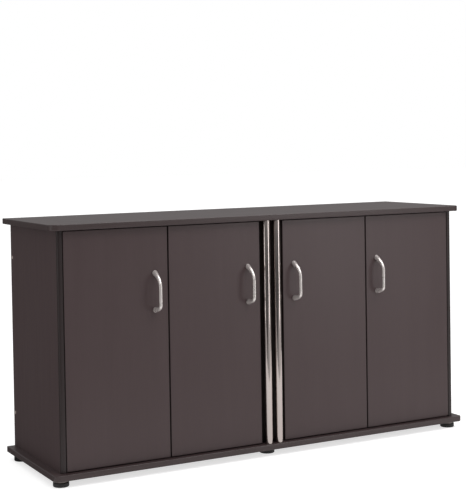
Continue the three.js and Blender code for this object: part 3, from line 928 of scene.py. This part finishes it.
def leg_rings(foot, up, leg, reach):
    """(middle, direction, radius) of the rings of a handle's leg, from its foot on the door to the bar."""
    rise, drop, turn, span = (length * MM for length in leg)
    outwards = Vector((0, -1, 0))
    curve = [foot, foot + rise * outwards - drop * up,
             foot + reach * outwards - turn * up, foot + reach * outwards - span * up]
    rings = [(foot, outwards, HANDLE_END - FOOT_EASE)]
    for step in range(LEG_STEPS + 1):
        t = step / LEG_STEPS
        place, way = bezier(curve, t)
        lean = min(1, t / LEG_SQUARE)
        radius = HANDLE_ROD + (HANDLE_END - HANDLE_ROD) * (1 - t) ** 2
        rings.append((place, outwards.lerp(way, lean).normalized(), radius))
    rings[1] = (foot + FOOT_EASE * outwards, outwards, HANDLE_END)
    return rings


def build_handle(number):
    """A bow handle, held by screws through the door: the upper leg sweeps down into a slim bar, and the
    lower one turns in to the door."""
    name = f"handle_{number}"
    low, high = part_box(name)
    door_low, door_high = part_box(f"door_{number}")
    x = (low.x + high.x) / 2
    middle = (low.z + high.z) / 2
    reach = door_low.y - low.y - HANDLE_ROD
    up = Vector((0, 0, 1))
    foot = Vector((x, door_low.y, middle))
    half = HANDLE_PITCH / 2
    upper = leg_rings(foot + half * up, up, UPPER_LEG, reach)
    lower = leg_rings(foot - half * up, -up, LOWER_LEG, reach)
    rod = bmesh.new()
    lower = [(place, -way, radius) for place, way, radius in reversed(lower)]
    add_loft(rod, upper + lower, Vector((1, 0, 0)))
    screws = bmesh.new()
    for z in (middle - half, middle + half):
        add_screw(screws, (x, door_high.y, z), (0, 1, 0), *HANDLE_SCREW)
    body = f"door_{number}_leaf"
    finish_piece(f"{name}_bow", rod, "handle", body, name, angle=50)
    finish_piece(f"{name}_screws", screws, "zinc", body)


# ---------- Hinges ----------


def hinge_axis(number):
    """The pivot of a door and the X direction from it towards the door's free edge."""
    joint = next(j for j in frame["joints"] if j["child"] == f"door_{number}_leaf")
    pivot = Vector(joint["pos_m"])
    return pivot, -side_of(f"door_{number}")


class Hinge:
    """One hinge: places around its door's pivot and over the face of the upright that carries it."""

    def __init__(self, number, level):
        self.tag = f"{number}_{level}"
        self.leaf = f"door_{number}_leaf"
        self.links = f"door_{number}_links"
        self.pivot, self.into = hinge_axis(number)
        low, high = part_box(f"hinge_arm_{self.tag}")
        self.face = low.x if self.into > 0 else high.x
        self.z = (low.z + high.z) / 2
        self.door_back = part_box(f"door_{number}")[1].y

    def place(self, rise, depth, z=0.0):
        """A point over the upright: rise from its face, depth behind the door's front, height z."""
        return Vector((self.face + self.into * rise, self.pivot.y + depth, self.z + z))

    def sector(self, inner, outer, start, end, steps=16):
        """A ring sector around the pivot, between two radii and two angles in degrees."""
        points = []
        for radius, order in ((outer, range(steps + 1)), (inner, range(steps, -1, -1))):
            for step in order:
                angle = math.radians(start + (end - start) * step / steps)
                points.append(Vector((self.pivot.x + self.into * radius * math.cos(angle),
                                      self.pivot.y + radius * math.sin(angle))))
        return points

    def block(self, rises, depths, radius):
        """An outline in the XY plane between two rises and two depths."""
        ends = sorted(self.face + self.into * rise for rise in rises)
        return rounded_outline((ends[0], self.pivot.y + depths[0]), (ends[1], self.pivot.y + depths[1]),
                               (radius,) * 4, steps=4)

    def flat(self, depths, half, radius):
        """An outline in the YZ plane between two depths, centred on the hinge's height."""
        near, far = (self.pivot.y + depth for depth in depths)
        return rounded_outline((near, self.z - half), (far, self.z + half), (radius,) * 4, steps=6)

    def rises(self, low, high):
        return sorted((self.face + self.into * low, self.face + self.into * high))

    def build_cup(self):
        """A drawn steel cup in its bore, with a screw flange and two screws."""
        low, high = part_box(f"hinge_cup_{self.tag}")
        x = (low.x + high.x) / 2
        radius = CUP_BORE - FIT
        top = self.door_back + CUP_FLANGE
        bottom = self.door_back - CUP_DEPTH + FIT
        depth = top - bottom
        flange = slot_outline((x, self.z), CUP_LUG_HALF, CUP_BORE + 1.5 * MM, turned=True, steps=24)
        outside = [(0, 0), (radius - 1.5 * MM, 0), (radius - 0.5 * MM, 0.5 * MM), (radius, 1.5 * MM),
                   (radius, depth - 0.2 * MM), (0, depth - 0.2 * MM)]
        shell = bmesh.new()
        add_lathe(shell, outside, (x, bottom, self.z), (0, 1, 0), 64)
        inner = radius - CUP_WALL
        mouth = inner + 0.5 * MM
        inside = [(0, 0), (inner - 1.2 * MM, 0), (inner - 0.4 * MM, 0.4 * MM), (inner, 1.2 * MM),
                  (inner, depth - CUP_WALL - 0.5 * MM), (mouth, depth - CUP_WALL + 0.01 * MM),
                  (mouth, depth), (0, depth)]
        bore = bmesh.new()
        add_lathe(bore, inside, (x, bottom + CUP_WALL, self.z), (0, 1, 0), 64)
        lugs = slab(flange, self.door_back, top, "XZ", 0.3 * MM)
        finish_piece(f"hinge_cup_{self.tag}_shell", lugs, "nickel", self.leaf, f"hinge_cup_{self.tag}",
                     joined=[shell], cutters=[bore])
        screws = bmesh.new()
        for end in (-1, 1):
            add_screw(screws, (x, top, self.z + end * CUP_SCREW_RISE), (0, 1, 0), *CUP_SCREW)
        finish_piece(f"hinge_cup_{self.tag}_screws", screws, "zinc", self.leaf)

    def build_link(self):
        """The moving link: two curved cheeks beside the arm's nose, joined by a bridge outside it."""
        bridge = self.sector(ARC_INNER, BRIDGE_OUTER, ARC_FROM, BRIDGE_TO)
        cheeks = self.sector(ARC_INNER, ARC_OUTER, ARC_FROM + 1, ARC_TO)
        channel = self.sector(ARC_INNER - 2 * MM, ARC_OUTER + FIT, ARC_FROM - 8, ARC_TO + 8)
        half = ARM_HALF + FIT
        z = self.z
        finish_piece(f"hinge_link_{self.tag}_body", slab(bridge, z - LINK_HALF, z + LINK_HALF, edge=0.4 * MM),
                     "nickel", self.links, f"hinge_link_{self.tag}",
                     joined=[slab(cheeks, z - LINK_HALF, z + LINK_HALF, edge=0.3 * MM)],
                     cutters=[slab(channel, z - half, z + half, edge=0.01 * MM)])

    def build_plate(self):
        """The mounting plate: two screwed wings and the plinth that the arm is clamped to."""
        wings = self.flat((WING_FROM, WING_TO), WING_HALF, 6 * MM)
        plinth = self.flat((PLINTH_FROM, PLINTH_TO), PLATE_HALF, 2 * MM)
        low, high = self.rises(0, WING_HEIGHT)
        bm = slab(wings, low, high, "YZ", 0.5 * MM)
        low, high = self.rises(0, PLATE_HEIGHT - 0.05 * MM)
        finish_piece(f"hinge_plate_{self.tag}", bm, "nickel", "carcass",
                     joined=[slab(plinth, low, high, "YZ", 0.6 * MM)])
        screws = bmesh.new()
        middle = (WING_FROM + WING_TO) / 2
        for end in (-1, 1):
            head = self.place(WING_HEIGHT, middle, end * PLATE_SCREW_SHARE * WING_HALF)
            add_screw(screws, head, (self.into, 0, 0), *PLATE_SCREW)
        finish_piece(f"hinge_plate_{self.tag}_screws", screws, "zinc", "carcass")

    def build_arm(self):
        """The fixed arm: a bar over the plinth and a curved nose that dips into the cup."""
        z = self.z
        bar = self.block((PLATE_HEIGHT, ARM_HEIGHT), (ARM_FROM + 8 * MM, ARM_TO), 1.2 * MM)
        front = self.block((WING_HEIGHT, ARM_HEIGHT), (ARM_FROM, PLINTH_FROM - 0.4 * MM), 1.0 * MM)
        nose = self.sector(ARC_INNER, ARC_OUTER, ARC_FROM, ARC_TO)
        adjusters = bmesh.new()
        pockets = bmesh.new()
        for depth in ADJUSTER_DEPTHS:
            centre = self.place(ARM_HEIGHT - POCKET_DEPTH, depth)
            pocket = [(0, 0), (POCKET_RADIUS, 0), (POCKET_RADIUS, 3 * MM), (0, 3 * MM)]
            add_lathe(pockets, pocket, centre, (self.into, 0, 0), 32)
            add_screw(adjusters, centre, (self.into, 0, 0), POCKET_RADIUS - FIT, MM)
        finish_piece(f"hinge_arm_{self.tag}_body", slab(bar, z - ARM_HALF, z + ARM_HALF, edge=0.8 * MM),
                     "nickel", "carcass", f"hinge_arm_{self.tag}",
                     joined=[slab(front, z - ARM_HALF, z + ARM_HALF, edge=0.6 * MM),
                             slab(nose, z - ARM_HALF, z + ARM_HALF, edge=0.4 * MM)],
                     cutters=[pockets])
        finish_piece(f"hinge_arm_{self.tag}_screws", adjusters, "zinc", "carcass")

    def build(self):
        self.build_cup()
        self.build_link()
        self.build_plate()
        self.build_arm()


# ---------- The whole cabinet ----------

build_carcass()
for side_name in SIDES:
    build_column(side_name)
    for wall in ("outer", "inner"):
        for place in ("front", "rear"):
            build_shelf_pin(f"shelf_pin_{side_name}_{wall}_{place}")
for foot in [node for node in frame["nodes"] if node.startswith("foot_")]:
    build_foot(foot)
for door in DOORS:
    build_door(door)
    build_handle(door)
    for level in LEVELS:
        Hinge(door, level).build()

make_studio()
make_camera()
